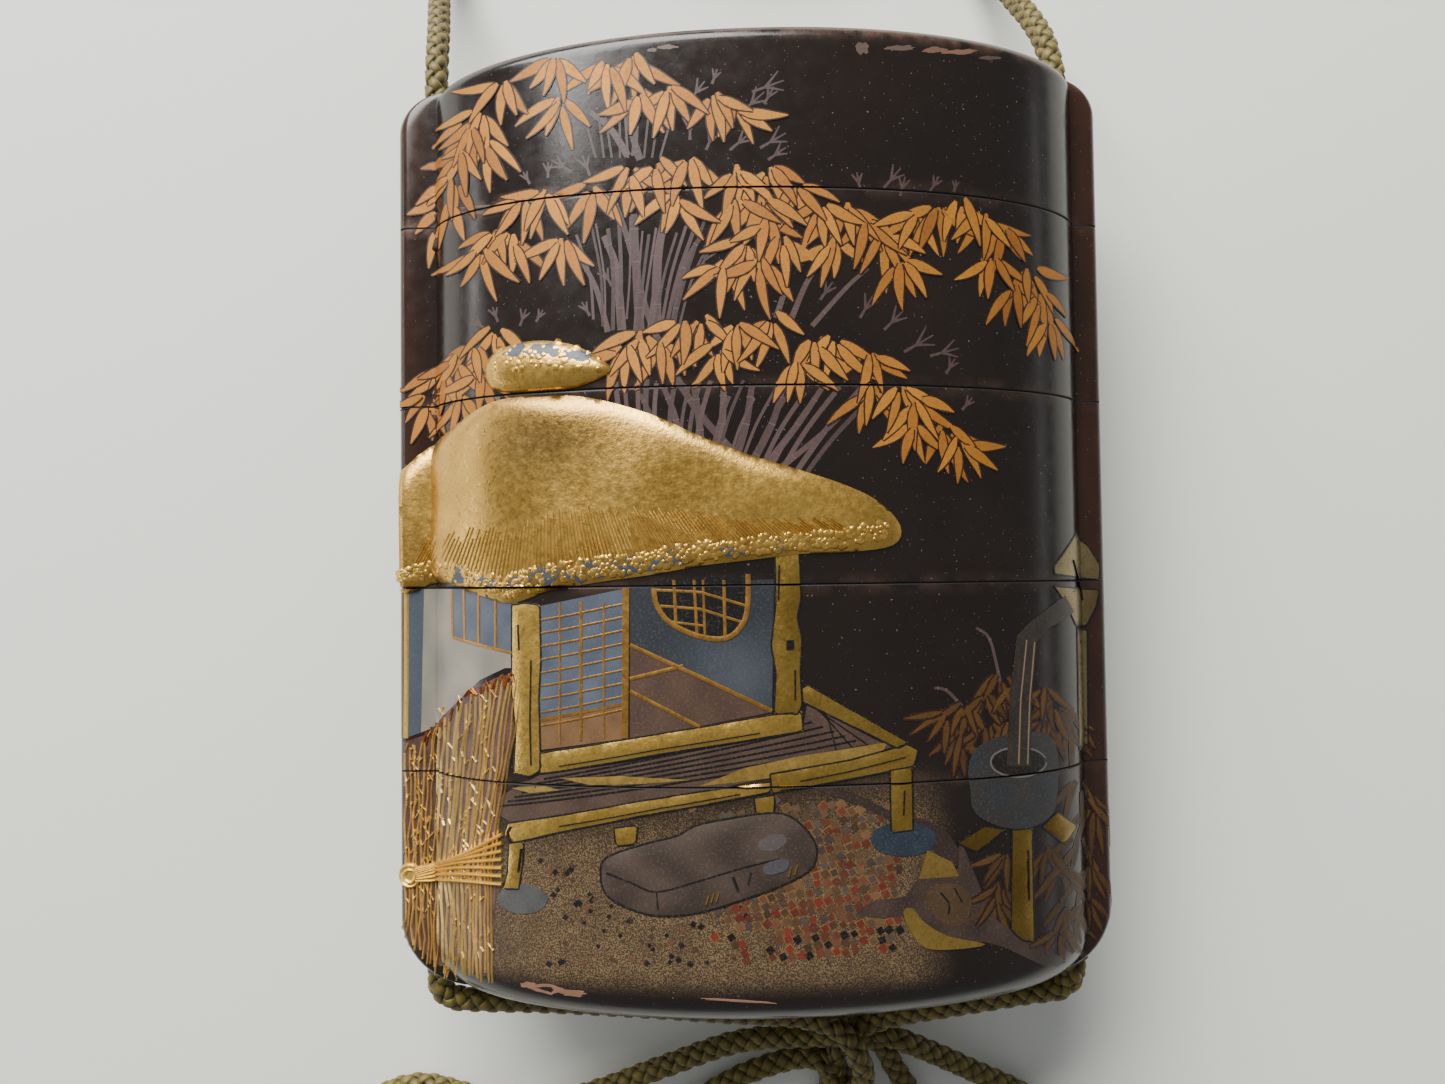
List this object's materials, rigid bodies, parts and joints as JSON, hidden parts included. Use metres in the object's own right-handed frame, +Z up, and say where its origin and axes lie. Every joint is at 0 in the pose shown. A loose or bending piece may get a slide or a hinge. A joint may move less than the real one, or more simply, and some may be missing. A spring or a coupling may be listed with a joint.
{
  "type": "inro case",
  "caption": "Small flattened lacquered case of stacking trays under a lift-off lid, strung on a silk cord through side runners and tied in a bow.",
  "frame": {"origin": "centre of the case's footprint on the table, with the case lying on its back", "axes": "+X across the width to the right of the picture, +Y along the stack from the base to the lid, +Z up through the thickness to the pictured front"},
  "size_m": [0.0752, 0.1652, 0.0265],
  "materials": {
    "lacquer": "polished dark brown lacquer over wood, worn at the edges",
    "gold": "gold powder in lacquer, satin",
    "silk": "olive green braided silk cord"
  },
  "bodies": {
    "root": {"lid": "lacquer", "tray_1": "lacquer", "tray_2": "lacquer", "tray_3": "lacquer", "base": "lacquer", "cord_top_left": "silk", "cord_top_right": "silk", "cord_coil": "silk", "cord_channel_left": "silk", "cord_channel_right": "silk", "cord_base_left": "silk", "cord_base_right": "silk", "bow_knot": "silk", "bow_left": "silk", "bow_right": "silk", "cord_tail_left": "silk", "cord_tail_right": "silk", "end_knot_left": "silk", "end_knot_right": "silk"}
  },
  "joints": []
}
